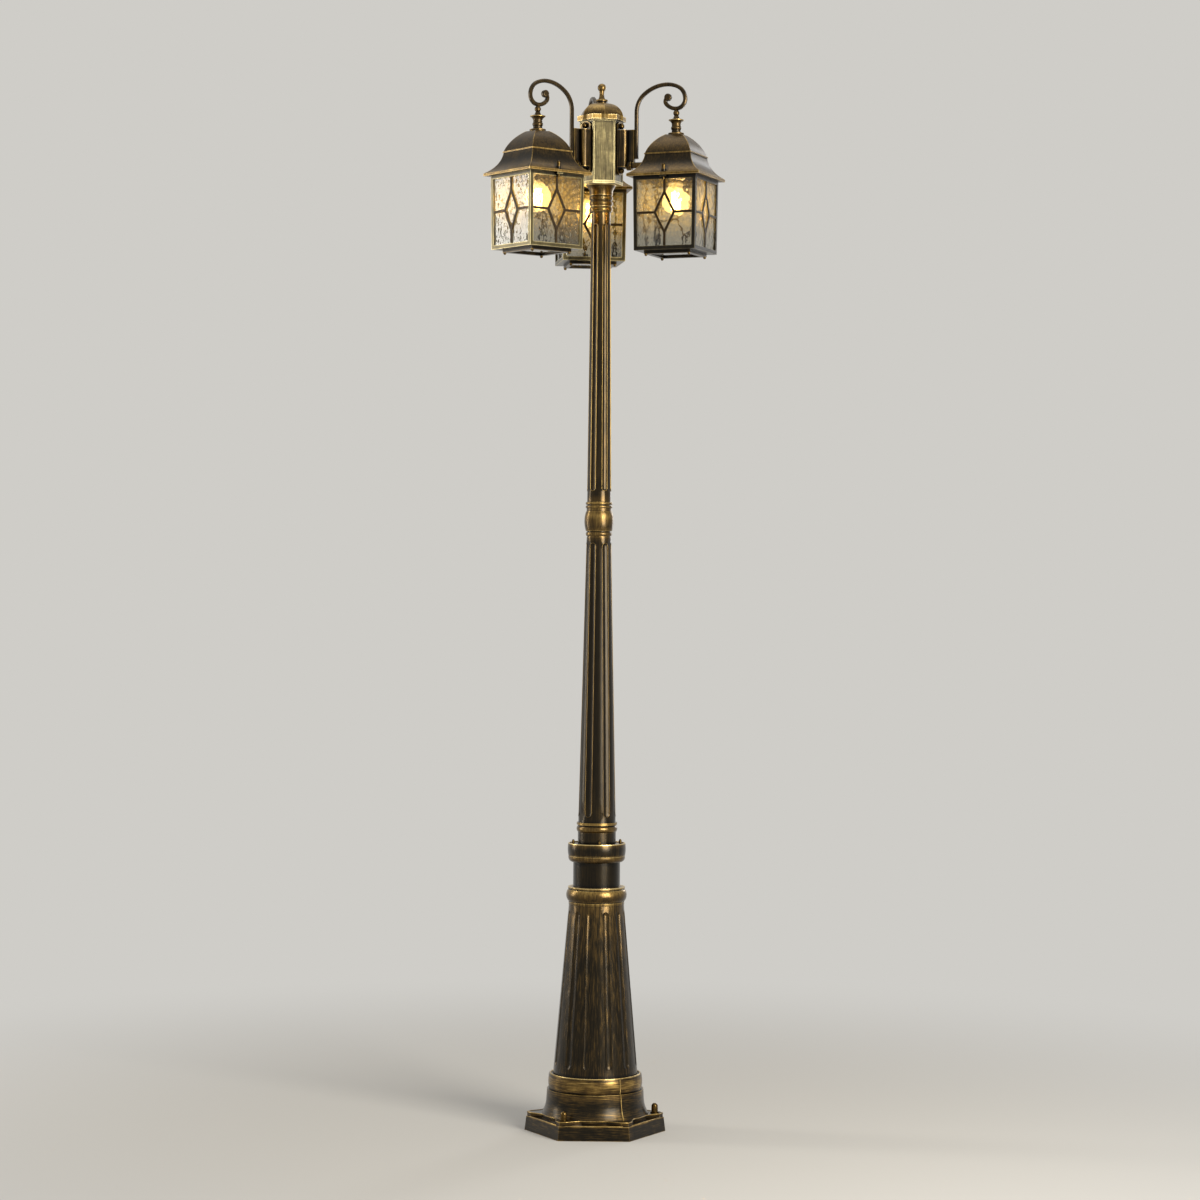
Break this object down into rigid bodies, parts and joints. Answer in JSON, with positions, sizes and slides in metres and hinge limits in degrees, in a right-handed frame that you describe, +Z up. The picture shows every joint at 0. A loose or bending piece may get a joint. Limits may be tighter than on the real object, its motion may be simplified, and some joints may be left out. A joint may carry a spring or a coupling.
{
  "type": "three-lantern lamp post",
  "caption": "Free-standing street lamp post: hexagonal foot, fluted tapering column, and hanging square glazed lanterns on scrolled brackets round a hexagonal head.",
  "frame": {"origin": "centre of the anchor circle, on the ground plane under the foot", "axes": "+Z up the post; -Y faces the plain front panel of the hexagonal head, and the rear lantern hangs on +Y"},
  "size_m": [0.5312, 0.4601, 2.2991],
  "materials": {
    "antique_gold_casting": "cast aluminium, black lacquer brushed over with antique gold, satin",
    "brass_fastener": "antique brass, polished domes",
    "dark_glazing_bar": "dark bronze lacquer, satin",
    "textured_glass": "clear hammered glass",
    "bulb_glass": "clear smooth glass",
    "socket_ceramic": "glazed ceramic",
    "terminal_plastic": "moulded, matt"
  },
  "bodies": {
    "root": {"anchor_cap_nuts": "brass_fastener", "bottom_frame_left": "antique_gold_casting", "bottom_frame_rear": "antique_gold_casting", "bottom_frame_right": "antique_gold_casting", "bottom_pane_left": "textured_glass", "bottom_pane_rear": "textured_glass", "bottom_pane_right": "textured_glass", "bottom_screws_left": "brass_fastener", "bottom_screws_rear": "brass_fastener", "bottom_screws_right": "brass_fastener", "bracket_screws": "brass_fastener", "bulb_left": "bulb_glass", "bulb_rear": "bulb_glass", "bulb_right": "bulb_glass", "collar": "antique_gold_casting", "collar_screws": "brass_fastener", "foot": "antique_gold_casting", "glass_panes_left": "textured_glass", "glass_panes_rear": "textured_glass", "glass_panes_right": "textured_glass", "glazing_bars_left": "dark_glazing_bar", "glazing_bars_rear": "dark_glazing_bar", "glazing_bars_right": "dark_glazing_bar", "gooseneck_left": "antique_gold_casting", "gooseneck_rear": "antique_gold_casting", "gooseneck_right": "antique_gold_casting", "hub_body": "antique_gold_casting", "hub_cap": "antique_gold_casting", "hub_finial": "antique_gold_casting", "hub_nut": "brass_fastener", "hub_socket": "antique_gold_casting", "hub_socket_screw": "brass_fastener", "joint_ball": "antique_gold_casting", "lamp_socket_left": "socket_ceramic", "lamp_socket_rear": "socket_ceramic", "lamp_socket_right": "socket_ceramic", "lantern_frame_left": "antique_gold_casting", "lantern_frame_rear": "antique_gold_casting", "lantern_frame_right": "antique_gold_casting", "lantern_roof_left": "antique_gold_casting", "lantern_roof_rear": "antique_gold_casting", "lantern_roof_right": "antique_gold_casting", "lower_column": "antique_gold_casting", "middle_column": "antique_gold_casting", "neck": "antique_gold_casting", "roof_finial_left": "antique_gold_casting", "roof_finial_rear": "antique_gold_casting", "roof_finial_right": "antique_gold_casting", "roof_screws_left": "brass_fastener", "roof_screws_rear": "brass_fastener", "roof_screws_right": "brass_fastener", "stub_arm_left": "antique_gold_casting", "stub_arm_rear": "antique_gold_casting", "stub_arm_right": "antique_gold_casting", "terminal_block": "terminal_plastic", "upper_column": "antique_gold_casting", "wall_bracket_left": "antique_gold_casting", "wall_bracket_rear": "antique_gold_casting", "wall_bracket_right": "antique_gold_casting"}
  },
  "joints": []
}
